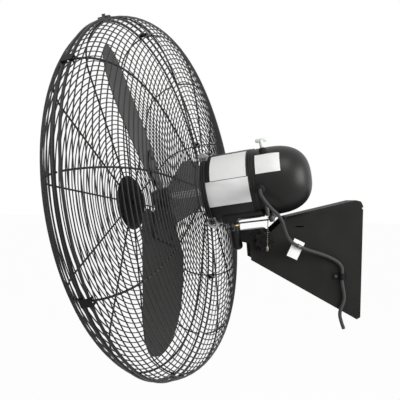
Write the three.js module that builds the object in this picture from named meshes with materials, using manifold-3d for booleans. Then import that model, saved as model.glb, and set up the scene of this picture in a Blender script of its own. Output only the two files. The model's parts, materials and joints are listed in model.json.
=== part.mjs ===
// Wall mounted oscillating fan, 30 inch class, with a folded sheet bracket.
// Millimetres, +Z up, wall plane at y = 0, the fan blows towards -Y.
import * as THREE from "three";
import { mergeVertices } from "three/addons/utils/BufferGeometryUtils.js";
import Module from "manifold-3d";

const wasm = await Module();
wasm.setup();

// ---------------------------------------------------------------- sizes
const GAP = 0.3; // room kept between pieces that touch

// Bracket
const WALL_HEIGHT = 272;
const BRACKET_WIDTH = 90;
const BRACKET_REACH = 257;
const SHEET = 3;
const BEND = 8;
const NOSE_TOP = 58;
const NOSE_BOTTOM = -6;
const TOP_FRONT = 85; // how far the closed top stops short of the front end
const TOP_RISE = 41.5; // rise of the sloping top from its front end to the wall
const TILT_BOLT_BACK = 29.5; // tilt bolt behind the front end
const TILT_BOLT_Z = 40;
const BOLT_D = 9.8;
const SLOT_Y = -145; // slit in the near side
const SLOT_Z = 72.5;
const SLOT_LENGTH = 18;
const SLOT_HIGH = 3;

// Neck and swivel
const TUBE_AHEAD = 56.1;
const TUBE_DROP = 9.4;
const TUBE_D = 24.8;
const TUBE_TOP = 47.7;
const POST_D = 16;
const WASHER = 2.6;
const PAD = 8.6;
const LINK_RADIUS = 24;
const RAIL_LIFT = 9; // rails above the underside of the motor base
const BASE_W = 96;
const BASE_LENGTH = 92;

// Motor
const MOTOR_D = 160;
const BARREL_FRONT = 17;
const BARREL_REAR = -84;
const BELL_DEPTH = 13;
const SHELL_AHEAD = 19.7; // front label edge ahead of the swivel axis
const HOUSING_D = 156;
const HOUSING_LENGTH = 115;
const SHELL = 3;
const SHAFT_D = 16;
const WHEEL_D = 36;

// Guards and blades
const GUARD_D = 840;
const WIRE = 4.5;
const FACE_T = 232.5;
const FACE_R = 320.6;
const RIM_T = 145.2;
const BACK_T = 32.1;
const BACK_POWER = 5.7;
const RIBS = 12;
const BLADE_R = 373;
const BLADE_DRAWN_R = 381; // the reach that the blade's edges are drawn for
const BLADE_T = 145;
const BLADE_SHEET = 1.6;
const BLADE_TRAIL = 112; // depth of the rounded trailing edge
const PITCH = 0.25;

// Cord
const CORD_D = 8;

// Pose of the rest position
const TILT = THREE.MathUtils.degToRad(10.1);
const YAW = THREE.MathUtils.degToRad(-16.3);

// ------------------------------------------------------ derived places
const MOTOR_R = MOTOR_D / 2;
const HOUSING_R = HOUSING_D / 2;
const GUARD_R = GUARD_D / 2;
const PAD_Z = TUBE_TOP + GAP + WASHER + GAP; // underside of the motor base
const AXIS_Z = PAD_Z + PAD + GAP + MOTOR_R; // fan axis above the neck's foot
const LINK_Z = PAD_Z + 2.6;
const BASE_Z = PAD_Z + 7.6;
const KNOB_Y = -BRACKET_REACH + TILT_BOLT_BACK;
const BELL_REAR = BARREL_REAR - GAP;
const HOUSING_T = BELL_REAR - BELL_DEPTH - GAP; // where the housing starts
const HOUSING_END = HOUSING_T - HOUSING_LENGTH;
const CRANK_X = WHEEL_D / 2 + SHAFT_D / 2 + 0.8;
const CRANK_T = HOUSING_T - WHEEL_D / 2 - 1.1;
const KNOB_T = HOUSING_T - 19.3;
const SWITCH_T = HOUSING_T - 13;
const CORD_T = HOUSING_T - 9;

const tiltFrame = new THREE.Matrix4()
  .makeTranslation(0, KNOB_Y, TILT_BOLT_Z)
  .multiply(new THREE.Matrix4().makeRotationX(TILT));
const neckFrame = tiltFrame
  .clone()
  .multiply(new THREE.Matrix4().makeTranslation(0, -TUBE_AHEAD, -TUBE_DROP));
const headFrame = neckFrame
  .clone()
  .multiply(new THREE.Matrix4().makeRotationZ(YAW));
// Fan frame: +Y blows forward, +Z up, -X is the near side. y is called t below.
const fanFrame = headFrame
  .clone()
  .multiply(new THREE.Matrix4().makeTranslation(0, -SHELL_AHEAD, AXIS_Z))
  .multiply(new THREE.Matrix4().makeRotationZ(Math.PI));
const world = new THREE.Matrix4();

// ------------------------------------------------------------ materials
const finish = (color, roughness, metalness) =>
  new THREE.MeshStandardMaterial({ color, roughness, metalness });
const blackPaint = () => finish(0x1b1b1b, 0.35, 0.2);
const blackWire = () => finish(0x202020, 0.4, 0.3);
const steel = () => finish(0xb4b6ba, 0.3, 0.9);
const darkSteel = () => finish(0x3a3b3d, 0.4, 0.8);
const brass = () => finish(0xb08d3f, 0.35, 0.9);
const copper = () => finish(0xa8632f, 0.5, 0.6);
const rubber = () => finish(0x151515, 0.8, 0);
const plastic = () => finish(0x1d1d1f, 0.55, 0);
const paper = () => finish(0xe9e8e2, 0.7, 0);

// -------------------------------------------------------- solid helpers
function solid(geometry) {
  const g = geometry.index ? geometry.toNonIndexed() : geometry.clone();
  const bare = new THREE.BufferGeometry();
  bare.setAttribute("position", g.getAttribute("position"));
  const merged = mergeVertices(bare, 1e-4);
  const index = merged.index.array;
  const tris = [];
  for (let i = 0; i < index.length; i += 3) {
    const [a, b, c] = [index[i], index[i + 1], index[i + 2]];
    if (a !== b && b !== c && c !== a) tris.push(a, b, c);
  }
  const make = (t) =>
    new wasm.Manifold(
      new wasm.Mesh({
        numProp: 3,
        vertProperties: new Float32Array(merged.attributes.position.array),
        triVerts: new Uint32Array(t),
      }),
    );
  const made = make(tris);
  if (made.volume() > 0) return made;
  for (let i = 0; i < tris.length; i += 3)
    [tris[i], tris[i + 1]] = [tris[i + 1], tris[i]];
  return make(tris);
}

function geometryOf(body) {
  const mesh = body.getMesh();
  const g = new THREE.BufferGeometry();
  const out = new Float32Array(mesh.triVerts.length * 3);
  for (let i = 0; i < mesh.triVerts.length; i++)
    for (let k = 0; k < 3; k++)
      out[i * 3 + k] = mesh.vertProperties[mesh.triVerts[i] * mesh.numProp + k];
  g.setAttribute("position", new THREE.BufferAttribute(out, 3));
  return g;
}

const join = (first, ...rest) =>
  geometryOf(rest.reduce((s, g) => s.add(solid(g)), solid(first)));
const cut = (first, ...rest) =>
  geometryOf(rest.reduce((s, g) => s.subtract(solid(g)), solid(first)));

const moved = (g, x, y, z) => g.clone().translate(x, y, z);

// Outline in (x, y) drawn up to z = depth.
function prism(points, depth) {
  const shape = new THREE.Shape(points.map(([x, y]) => new THREE.Vector2(x, y)));
  return new THREE.ExtrudeGeometry(shape, { depth, bevelEnabled: false });
}

// Outline in (y, z) drawn along x from x0 to x1.
function sidePrism(points, x0, x1) {
  const turn = new THREE.Matrix4().makeBasis(
    new THREE.Vector3(0, 1, 0),
    new THREE.Vector3(0, 0, 1),
    new THREE.Vector3(1, 0, 0),
  );
  return prism(points, x1 - x0).applyMatrix4(turn).translate(x0, 0, 0);
}

// Box between two corners.
function box(x0, x1, y0, y1, z0, z1) {
  return new THREE.BoxGeometry(x1 - x0, y1 - y0, z1 - z0).translate(
    (x0 + x1) / 2,
    (y0 + y1) / 2,
    (z0 + z1) / 2,
  );
}

// Turned piece: profile of (radius, height) round the y axis.
function turned(profile, segments) {
  return new THREE.LatheGeometry(
    profile.map(([r, h]) => new THREE.Vector2(r, h)),
    segments,
  );
}
// The same with its axis along z, or along x.
const turnedZ = (profile, segments) =>
  turned(profile, segments).rotateX(Math.PI / 2);
const turnedX = (profile, segments) =>
  turned(profile, segments).rotateZ(-Math.PI / 2);

const ring = (inner, outer, low, high) => [
  [inner, low],
  [outer, low],
  [outer, high],
  [inner, high],
  [inner, low],
];
const rod = (r, low, high) => [
  [0, low],
  [r, low],
  [r, high],
  [0, high],
];
const closed = (points) => [...points, points[0]];

// A point of the fan frame: angle a up from the near side.
const polar = (r, a, t) =>
  new THREE.Vector3(-r * Math.cos(a), t, r * Math.sin(a));
const degrees = THREE.MathUtils.degToRad;
// Moves a piece drawn about +Z (radially outwards) to angle a and depth t.
function radially(geometry, a, t) {
  const out = polar(1, a, 0);
  const along = new THREE.Vector3(0, 1, 0);
  const side = new THREE.Vector3().crossVectors(along, out);
  const m = new THREE.Matrix4().makeBasis(side, along, out);
  return geometry.clone().applyMatrix4(m).translate(0, t, 0);
}

// Closed skin from two grids of points (outside, inside), rows x columns.
function thickSheet(outside, inside) {
  const rows = outside.length;
  const cols = outside[0].length;
  const at = [];
  const tri = (a, b, c) => at.push(...a.toArray(), ...b.toArray(), ...c.toArray());
  const quad = (a, b, c, d) => {
    tri(a, b, c);
    tri(a, c, d);
  };
  for (let i = 0; i + 1 < rows; i++)
    for (let j = 0; j + 1 < cols; j++) {
      quad(outside[i][j], outside[i + 1][j], outside[i + 1][j + 1], outside[i][j + 1]);
      quad(inside[i][j], inside[i][j + 1], inside[i + 1][j + 1], inside[i + 1][j]);
    }
  for (let j = 0; j + 1 < cols; j++) {
    quad(outside[0][j], outside[0][j + 1], inside[0][j + 1], inside[0][j]);
    const e = rows - 1;
    quad(outside[e][j + 1], outside[e][j], inside[e][j], inside[e][j + 1]);
  }
  for (let i = 0; i + 1 < rows; i++) {
    quad(outside[i + 1][0], outside[i][0], inside[i][0], inside[i + 1][0]);
    const e = cols - 1;
    quad(outside[i][e], outside[i + 1][e], inside[i + 1][e], inside[i][e]);
  }
  const g = new THREE.BufferGeometry();
  g.setAttribute("position", new THREE.Float32BufferAttribute(at, 3));
  return g;
}

const group = new THREE.Group();
group.name = "wall_mounted_fan";
function piece(name, geometry, frame, material) {
  const clean = geometryOf(solid(geometry));
  clean.computeVertexNormals();
  const mesh = new THREE.Mesh(clean, material);
  mesh.name = name;
  mesh.applyMatrix4(frame);
  group.add(mesh);
}

// -------------------------------------------------------------- bracket
// Folded sheet: wall plate, two tapered sides and a sloping top with bends.
const half = BRACKET_WIDTH / 2;
const topFrontY = -BRACKET_REACH + TOP_FRONT;
const topFrontZ = WALL_HEIGHT / 2 - TOP_RISE;
const topBackY = -15;
const slope = Math.atan2(TOP_RISE, topBackY - topFrontY);
const topAt = (y) => topFrontZ + (y - topFrontY) * Math.tan(slope);

function bendCutter(side, x, drop, radius) {
  const outline = [
    [x - radius, 4],
    [x + 4, 4],
    [x + 4, -radius],
  ];
  for (let k = 0; k <= 4; k++) {
    const a = (k / 4) * (Math.PI / 2);
    outline.push([x - radius + radius * Math.cos(a), -radius + radius * Math.sin(a)]);
  }
  const m = new THREE.Matrix4().makeBasis(
    new THREE.Vector3(side, 0, 0),
    new THREE.Vector3(0, -Math.sin(slope), Math.cos(slope)),
    new THREE.Vector3(0, Math.cos(slope), Math.sin(slope)),
  );
  m.setPosition(0, topFrontY, topFrontZ - drop);
  return moved(prism(outline, BRACKET_REACH), 0, 0, -12).applyMatrix4(m);
}

const bracketSide = [
  [0, -WALL_HEIGHT / 2 + 5],
  [-8, -WALL_HEIGHT / 2],
  [-BRACKET_REACH + 4, NOSE_BOTTOM],
  [-BRACKET_REACH, NOSE_BOTTOM + 36],
  [-BRACKET_REACH, NOSE_TOP - 10],
  [-BRACKET_REACH + 10, NOSE_TOP],
  [topFrontY - 38, NOSE_TOP],
  [topFrontY - 8, topFrontZ - 7],
  [topFrontY, topFrontZ],
  [topBackY, WALL_HEIGHT / 2],
  [-5, WALL_HEIGHT / 2 - 3],
  [0, WALL_HEIGHT / 2 - 13],
];
const inner = half - SHEET;
const drop = SHEET / Math.cos(slope);
const hollow = cut(
  sidePrism(
    [
      [-SHEET, -WALL_HEIGHT],
      [-SHEET, topAt(-SHEET) - drop],
      [topFrontY, topFrontZ - drop],
      [topFrontY, WALL_HEIGHT],
      [-BRACKET_REACH - 30, WALL_HEIGHT],
      [-BRACKET_REACH - 30, -WALL_HEIGHT],
    ],
    -inner,
    inner,
  ),
  bendCutter(1, inner, drop, BEND - SHEET),
  bendCutter(-1, inner, drop, BEND - SHEET),
);
const CLIP_Y = -46;
const CLIP_Z = -38;
const wallBolts = [-1, 1].flatMap((sx) =>
  [-1, 1].map((sz) =>
    moved(
      turned(rod(4.5, -20, 20), 12),
      sx * (half - 20),
      0,
      sz * (WALL_HEIGHT / 2 - 30),
    ),
  ),
);
const reliefs = [-1, 1].map((s) =>
  box(s * half - 7, s * half + 7, -4, 2, WALL_HEIGHT / 2 - 20, WALL_HEIGHT / 2 - 16.5),
);
const slot = moved(
  box(inner - 4, half + 4, -SLOT_LENGTH / 2, SLOT_LENGTH / 2, -SLOT_HIGH / 2, SLOT_HIGH / 2),
  0,
  SLOT_Y,
  SLOT_Z,
);
piece(
  "wall_bracket",
  cut(
    sidePrism(bracketSide, -half, half),
    bendCutter(1, half, 0, BEND),
    bendCutter(-1, half, 0, BEND),
    hollow,
    moved(turnedX(rod(BOLT_D / 2 + 0.4, -80, 80), 16), 0, KNOB_Y, TILT_BOLT_Z),
    moved(turnedX(rod(2.2, inner - 5, half + 5), 12), 0, CLIP_Y - 14, CLIP_Z),
    slot,
    ...wallBolts,
    ...reliefs,
  ),
  world,
  blackPaint(),
);

// Cord clip: a bow over the cord with one screwed foot.
const cordX = half + GAP + 0.2 + CORD_D / 2;
const bowIn = CORD_D / 2 + GAP;
const bowOut = bowIn + 1.6;
const bow = [];
for (let k = 0; k <= 8; k++) {
  const a = (k / 8) * Math.PI;
  bow.push([CLIP_Y - bowOut * Math.cos(a), cordX + bowOut * Math.sin(a)]);
}
const bowInside = [];
for (let k = 8; k >= 0; k--) {
  const a = (k / 8) * Math.PI;
  bowInside.push([CLIP_Y - bowIn * Math.cos(a), cordX + bowIn * Math.sin(a)]);
}
const foot = half + GAP;
const clipOutline = [
  [CLIP_Y - 20, foot],
  [CLIP_Y - 20, foot + 1.6],
  [CLIP_Y - bowOut, foot + 1.6],
  ...bow,
  [CLIP_Y + bowOut, foot + 1.6],
  [CLIP_Y + bowOut + 4, foot + 1.6],
  [CLIP_Y + bowOut + 4, foot],
  [CLIP_Y + bowIn, foot],
  ...bowInside,
  [CLIP_Y - bowIn, foot],
];
// The outline is (y, x); drawn along z.
const flip = new THREE.Matrix4().makeBasis(
  new THREE.Vector3(0, 1, 0),
  new THREE.Vector3(1, 0, 0),
  new THREE.Vector3(0, 0, 1),
);
piece(
  "cord_clip",
  cut(
    prism(clipOutline, 14).applyMatrix4(flip).translate(0, 0, CLIP_Z - 7),
    moved(turnedX(rod(2.2, foot - 3, foot + 4), 12), 0, CLIP_Y - 14, CLIP_Z),
  ),
  world,
  plastic(),
);
piece(
  "cord_clip_screw",
  moved(
    turnedX(
      [
        [0, inner - 4],
        [1.9, inner - 4],
        [1.9, foot + 1.9],
        [4, foot + 1.9],
        [3.4, foot + 4],
        [0, foot + 4.4],
      ],
      12,
    ),
    0,
    CLIP_Y - 14,
    CLIP_Z,
  ),
  world,
  darkSteel(),
);

// Tilt bolt with its head on the far side, knob screwed on at the near side.
const knobEnd = half + 19.5;
piece(
  "tilt_bolt",
  moved(
    join(
      turnedX(rod(BOLT_D / 2, -half - 6, knobEnd - 5), 16),
      turnedX(rod(8.6, -half - 6.8, -half - GAP), 6),
    ),
    0,
    KNOB_Y,
    TILT_BOLT_Z,
  ),
  world,
  darkSteel(),
);

function starKnob() {
  const lobes = 7;
  const outline = [];
  for (let k = 0; k < lobes * 6; k++) {
    const a = (k / (lobes * 6)) * Math.PI * 2;
    const r = 20.4 + 3.4 * Math.cos(lobes * a);
    outline.push([r * Math.cos(a), r * Math.sin(a)]);
  }
  const body = sidePrism(outline, half + 5, knobEnd);
  const boss = turnedX(rod(11, half + GAP, half + 8), 20);
  const cap = turnedX(rod(9, knobEnd - 1, knobEnd + 2.5), 20);
  const bore = turnedX(rod(BOLT_D / 2 + GAP, half - 4, knobEnd - 4.5), 16);
  return moved(cut(join(body, boss, cap), bore), 0, KNOB_Y, TILT_BOLT_Z);
}
piece("star_knob", starKnob(), world, plastic());

// ----------------------------------------------------------------- neck
// Casting with an eye for the tilt bolt, an arm and an upright barrel.
const tubeR = TUBE_D / 2;
const bore = POST_D / 2 + GAP;
const pinAngle = YAW;
const eyeHalf = half - SHEET - WASHER - 2 * GAP;
function neckArm() {
  const tube = turnedZ(
    [
      [0, -8.6],
      [tubeR * 0.55, -8],
      [tubeR * 0.85, -5],
      [tubeR, 0],
      [tubeR, TUBE_TOP],
      [0, TUBE_TOP],
    ],
    24,
  );
  const eyeY = TUBE_AHEAD;
  const eyeZ = TUBE_DROP;
  const eye = moved(turnedX(rod(17, -eyeHalf, eyeHalf), 24), 0, eyeY, eyeZ);
  const sideView = sidePrism(
    [
      [8, eyeZ + 1],
      [eyeY - 12, eyeZ - 12],
      [eyeY + 10, eyeZ - 15],
      [eyeY + 18, eyeZ + 16],
      [eyeY + 12, eyeZ + 25],
      [8, eyeZ + 27],
    ],
    -eyeY,
    eyeY,
  );
  const topView = prism(
    [
      [-10, 9],
      [10, 9],
      [21, eyeY - 26],
      [21, eyeY + 30],
      [-21, eyeY + 30],
      [-21, eyeY - 26],
    ],
    2 * eyeY,
  ).translate(0, 0, -eyeY);
  const arm = geometryOf(solid(sideView).intersect(solid(topView)));
  const lugHigh = TUBE_TOP - 0.7;
  const lug = box(0, LINK_RADIUS, -6.5, 6.5, lugHigh - 6, lugHigh).rotateZ(pinAngle);
  const end = turnedZ(rod(7.5, lugHigh - 6, lugHigh), 16);
  const place = [LINK_RADIUS * Math.cos(pinAngle), LINK_RADIUS * Math.sin(pinAngle), 0];
  return cut(
    join(tube, arm, eye, lug, moved(end, ...place)),
    turnedZ(rod(bore, TUBE_TOP - 42, TUBE_TOP + 5), 20),
    moved(turnedX(rod(BOLT_D / 2 + 0.4, -80, 80), 16), 0, eyeY, eyeZ),
    moved(turnedZ(rod(3.4, lugHigh - 12, lugHigh + 5), 12), ...place),
  );
}
piece("neck_arm", neckArm(), neckFrame, blackPaint());

for (const [name, side] of [
  ["friction_washer_near", 1],
  ["friction_washer_far", -1],
]) {
  const mid = side * (eyeHalf + GAP + WASHER / 2);
  piece(
    name,
    turnedX(ring(BOLT_D / 2 + 0.4, 15, mid - WASHER / 2, mid + WASHER / 2), 20),
    tiltFrame,
    steel(),
  );
}

piece(
  "thrust_washer",
  turnedZ(ring(bore, tubeR + 1.4, TUBE_TOP + GAP, TUBE_TOP + GAP + WASHER), 24),
  neckFrame,
  brass(),
);

// Pin that holds the front eye of the link on the neck's lug.
const lugTop = TUBE_TOP - 0.7;
piece(
  "anchor_pin",
  moved(
    turnedZ(
      [
        [0, lugTop - 9],
        [5.5, lugTop - 9],
        [5.5, lugTop - 6 - GAP],
        [3.1, lugTop - 6 - GAP],
        [3.1, lugTop + GAP],
        [5.6, lugTop + GAP],
        [5.6, LINK_Z - GAP],
        [3.1, LINK_Z - GAP],
        [3.1, LINK_Z + 3 + GAP],
        [5, LINK_Z + 3 + GAP],
        [5, LINK_Z + 4.6],
        [0, LINK_Z + 4.6],
      ],
      12,
    ),
    LINK_RADIUS * Math.cos(pinAngle),
    LINK_RADIUS * Math.sin(pinAngle),
    0,
  ),
  neckFrame,
  darkSteel(),
);

// ------------------------------------------------- swivel and motor base
piece(
  "swivel_post",
  turnedZ(rod(POST_D / 2, TUBE_TOP - 41, PAD_Z + PAD - 1.5), 20),
  headFrame,
  steel(),
);
const axisCylinder = (r, y0, y1) =>
  moved(turned(rod(r, y0, y1), 48), 0, 0, AXIS_Z);
function motorBase() {
  const front = -SHELL_AHEAD + 5;
  const railZ = BASE_Z + RAIL_LIFT;
  const block = sidePrism(
    [
      [front, BASE_Z + 4],
      [front + 3, BASE_Z],
      [tubeR + 1.5, BASE_Z],
      [tubeR + 12, railZ],
      [front + BASE_LENGTH, railZ],
      [front + BASE_LENGTH, BASE_Z + 24],
      [front, BASE_Z + 24],
    ],
    -BASE_W / 2,
    BASE_W / 2,
  );
  const pad = turnedZ(rod(11.5, PAD_Z, BASE_Z + 4), 20);
  return cut(
    join(block, pad),
    axisCylinder(MOTOR_R + GAP, -200, 200),
    turnedZ(rod(bore, PAD_Z - 5, BASE_Z + 20), 20),
  );
}
piece("motor_base", motorBase(), headFrame, blackPaint());

// ----------------------------------------------------------- motor shell
piece(
  "motor_barrel",
  turned(ring(MOTOR_R - 4, MOTOR_R, BARREL_REAR, BARREL_FRONT), 48),
  fanFrame,
  blackPaint(),
);

const EAR_ANGLES = [62, 182, 302].map(degrees);
const bellT = BARREL_FRONT + GAP;
const bellFront = bellT + BELL_DEPTH;
const earHoles = EAR_ANGLES.map((a) =>
  radially(turnedZ(rod(2.5, MOTOR_R - 12, MOTOR_R + 9), 10), a, bellT + 3.5),
);
const shaftR = SHAFT_D / 2;
const seatR = shaftR + 8;
piece(
  "front_end_bell",
  cut(
    turned(
      closed([
        [shaftR + 1.5, bellFront],
        [MOTOR_R - 10, bellFront],
        [MOTOR_R, bellFront - 5],
        [MOTOR_R, bellT],
        [MOTOR_R - 4, bellT],
        [MOTOR_R - 4, bellFront - 7],
        [MOTOR_R - 12, bellFront - 4],
        [seatR + 4, bellFront - 4],
        [seatR + 4, bellFront - 17],
        [seatR, bellFront - 17],
        [seatR, bellFront - 4],
        [shaftR + 1.5, bellFront - 4],
      ]),
      36,
    ),
    ...earHoles,
  ),
  fanFrame,
  blackPaint(),
);
piece(
  "front_bearing",
  turned(ring(shaftR + GAP, seatR - GAP, bellFront - 15, bellFront - 4.3), 24),
  fanFrame,
  steel(),
);

const ribbed = [];
for (let k = 0; k < 2; k++) {
  const t = BELL_REAR - (k * BELL_DEPTH) / 2;
  ribbed.push([MOTOR_R - 0.5, t], [MOTOR_R - 0.5, t - 3.6]);
  ribbed.push([MOTOR_R - 2.5, t - 4.2], [MOTOR_R - 2.5, t - BELL_DEPTH / 2 + 0.2]);
}
const bellBack = BELL_REAR - BELL_DEPTH;
piece(
  "rear_end_bell",
  turned(
    closed([
      ...ribbed.slice(0, -1),
      [MOTOR_R - 2.5, bellBack],
      [shaftR + 1.5, bellBack],
      [shaftR + 1.5, bellBack + 3],
      [seatR, bellBack + 3],
      [seatR, bellBack + 14],
      [seatR + 4, bellBack + 14],
      [seatR + 4, bellBack + 4],
      [MOTOR_R - 6, bellBack + 4],
      [MOTOR_R - 6, BELL_REAR],
    ]),
    32,
  ),
  fanFrame,
  blackPaint(),
);
piece(
  "rear_bearing",
  turned(ring(shaftR + GAP, seatR - GAP, bellBack + 3.3, bellBack + 13), 24),
  fanFrame,
  steel(),
);

// Gearbox housing: a drum that closes in a dome at the back.
const domeStart = HOUSING_T - 22;
const domeLength = domeStart - HOUSING_END;
function housingRadius(t, inset) {
  const u = Math.max(0, (domeStart - t) / (domeLength - inset));
  return (HOUSING_R - inset) * Math.pow(Math.max(0, 1 - Math.pow(u, 2.6)), 1 / 2.6);
}
function domeProfile(inset) {
  const points = [[HOUSING_R - inset, HOUSING_T]];
  for (let k = 0; k <= 7; k++) {
    const u = Math.sin((k / 7) * (Math.PI / 2));
    const t = domeStart - u * (domeLength - inset);
    points.push([k === 7 ? 0 : housingRadius(t, inset), t]);
  }
  return points;
}
const headPoint = (x, t, z) => [x, -SHELL_AHEAD - t, z];
const drill = (r, x, t, z0, z1) =>
  moved(turnedZ(rod(r, z0, z1), 12), ...headPoint(x, t, 0));
const toFan = fanFrame.clone().invert().multiply(headFrame);
const inFan = (g) => g.clone().applyMatrix4(toFan);
const KNOB_X = HOUSING_R * 0.513;
const SWITCH_X = HOUSING_R * 0.77;
const cordAngle = degrees(-11.6);
piece(
  "gearbox_housing",
  cut(
    turned([...domeProfile(0).reverse(), ...domeProfile(SHELL)], 36),
    inFan(drill(6.7, CRANK_X, CRANK_T, AXIS_Z - 100, AXIS_Z - 30)),
    inFan(drill(3.8, KNOB_X, KNOB_T, AXIS_Z + 30, AXIS_Z + 100)),
    inFan(drill(5.3, SWITCH_X, SWITCH_T, AXIS_Z - 100, AXIS_Z - 30)),
    radially(turnedZ(rod(7, HOUSING_R - 16, HOUSING_R + 10), 14), cordAngle, CORD_T),
  ),
  fanFrame,
  blackPaint(),
);

// Labels: bare curved skins on the shell.
function label(t0, t1, a0, a1, radius, rows, cols) {
  const grid = (lift) =>
    Array.from({ length: rows + 1 }, (_, i) =>
      Array.from({ length: cols + 1 }, (_, j) => {
        const t = t0 + ((t1 - t0) * i) / rows;
        const a = a0 + ((a1 - a0) * j) / cols;
        return polar(radius(t) + lift, a, t);
      }),
    );
  return thickSheet(grid(0.8), grid(GAP));
}
piece(
  "label_barrel_upper",
  label(3, -79, degrees(12.5), degrees(67), () => MOTOR_R, 1, 8),
  fanFrame,
  paper(),
);
piece(
  "label_barrel_lower",
  label(14, -82, degrees(-29.5), degrees(11.5), () => MOTOR_R, 1, 7),
  fanFrame,
  paper(),
);
piece(
  "label_housing",
  label(
    HOUSING_T - 2,
    HOUSING_T - 56,
    degrees(13),
    degrees(49),
    (t) => housingRadius(t, 0) + 0.15,
    6,
    6,
  ),
  fanFrame,
  paper(),
);

// Cord grommet, boot and knob on the housing.
piece(
  "cord_grommet",
  cut(
    radially(
      join(
        cut(
          turnedZ(
            [
              [0, HOUSING_R - 5],
              [9.6, HOUSING_R - 5],
              [9.6, HOUSING_R + 3.5],
              [6.5, HOUSING_R + 10],
              [0, HOUSING_R + 10],
            ],
            16,
          ),
          turned(rod(HOUSING_R + GAP, -40, 40), 48),
        ),
        turnedZ(rod(6.6, HOUSING_R - 5.5, HOUSING_R + 3), 16),
      ),
      cordAngle,
      CORD_T,
    ),
    radially(
      turnedZ(rod(CORD_D / 2 + 0.5, HOUSING_R - 20, HOUSING_R + 20), 16),
      cordAngle,
      CORD_T,
    ),
  ),
  fanFrame,
  rubber(),
);

const knobSeat = AXIS_Z + Math.sqrt(HOUSING_R ** 2 - KNOB_X ** 2);
piece(
  "knob_boot",
  cut(
    moved(
      turnedZ(
        [
          [3.6, knobSeat - 14],
          [8.4, knobSeat - 14],
          [8.4, knobSeat + 4],
          [5.6, knobSeat + 7.6],
          [3.6, knobSeat + 7.6],
          [3.6, knobSeat - 14],
        ],
        16,
      ),
      ...headPoint(KNOB_X, KNOB_T, 0),
    ),
    axisCylinder(HOUSING_R + GAP, -200, 300),
  ),
  headFrame,
  rubber(),
);
piece(
  "oscillation_knob",
  moved(
    join(
      turnedZ(
        [
          [0, knobSeat - 18],
          [5.8, knobSeat - 18],
          [5.8, knobSeat - 14],
          [3.1, knobSeat - 14],
          [3.1, knobSeat + 8],
          [4.6, knobSeat + 9],
          [5.4, knobSeat + 22],
          [5.4, knobSeat + 25],
          [0, knobSeat + 25],
        ],
        14,
      ),
      box(-4.2, 4.2, -13, 13, knobSeat + 20, knobSeat + 29),
    ),
    ...headPoint(KNOB_X, KNOB_T, 0),
  ),
  headFrame,
  finish(0xe6ebe6, 0.25, 0),
);

// Pull switch inside the housing with its bushing below, and the chain.
const switchSeat = AXIS_Z - Math.sqrt(HOUSING_R ** 2 - SWITCH_X ** 2);
const bushEnd = switchSeat - 26;
piece(
  "pull_switch",
  moved(
    cut(
      join(
        box(-14, 2, -7, 13, switchSeat + 10, switchSeat + 32),
        turnedZ(
          [
            [0, bushEnd],
            [4.2, bushEnd],
            [5, bushEnd + 9],
            [5, switchSeat + 14],
            [0, switchSeat + 14],
          ],
          16,
        ),
      ),
      turnedZ(rod(2.4, bushEnd - 3, bushEnd + 18), 10),
    ),
    ...headPoint(SWITCH_X, SWITCH_T, 0),
  ),
  headFrame,
  finish(0xa9aaa6, 0.35, 0.8),
);
const chainMouth = headPoint(SWITCH_X, SWITCH_T, bushEnd - 1);
const chainTop = new THREE.Vector3(...chainMouth).applyMatrix4(headFrame);
piece(
  "pull_chain",
  join(
    moved(turnedZ(rod(1.6, -1, 15), 8), ...chainMouth).applyMatrix4(headFrame),
    moved(turnedZ(rod(1.5, -66, 0), 8), ...chainTop.toArray()),
    moved(
      turnedZ(
        [
          [0, -76],
          [3.4, -76],
          [3.4, -70],
          [1.6, -64],
          [0, -64],
        ],
        12,
      ),
      ...chainTop.toArray(),
    ),
  ),
  world,
  finish(0xb9b4a6, 0.3, 0.9),
);

// ------------------------------------------------------ inside the motor
const coreFront = BARREL_FRONT - 35;
const coreBack = coreFront - 44;
piece(
  "stator_core",
  turned(ring(52, MOTOR_R - 4 - GAP, coreBack, coreFront), 32),
  fanFrame,
  darkSteel(),
);
piece(
  "winding_front",
  turned(
    closed([
      [55, coreFront + GAP],
      [70, coreFront + GAP],
      [70, coreFront + 9],
      [66, coreFront + 14],
      [58, coreFront + 14],
      [55, coreFront + 9],
    ]),
    20,
  ),
  fanFrame,
  copper(),
);
piece(
  "winding_rear",
  turned(
    closed([
      [55, coreBack - GAP],
      [70, coreBack - GAP],
      [70, coreBack - 9],
      [66, coreBack - 14],
      [58, coreBack - 14],
      [55, coreBack - 9],
    ]),
    20,
  ),
  fanFrame,
  copper(),
);
piece(
  "run_capacitor",
  turned(rod(14, HOUSING_T - 60, HOUSING_T), 20).translate(
    HOUSING_R - SHELL - 14 - 5,
    0,
    -12,
  ),
  fanFrame,
  finish(0x2b2f36, 0.5, 0),
);

// --------------------------------------------------------- turning parts
const shaftFront = BLADE_T + 28;
const worm = [];
const wormBack = CRANK_T - 14;
for (let k = 0; k < 4; k++) {
  const t = wormBack + 1 + k * 6.6;
  worm.push([shaftR, t], [shaftR, t + 2.4], [shaftR - 2, t + 3.4], [shaftR - 2, t + 4.4]);
}
piece(
  "motor_shaft",
  turned(
    [
      [0, wormBack],
      ...worm,
      [shaftR, wormBack + 29],
      [shaftR, shaftFront - 1],
      [shaftR - 1, shaftFront],
      [0, shaftFront],
    ],
    16,
  ),
  fanFrame,
  steel(),
);
piece(
  "rotor_core",
  turned(ring(shaftR + GAP, 50.8, coreBack, coreFront), 28),
  fanFrame,
  darkSteel(),
);

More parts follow.
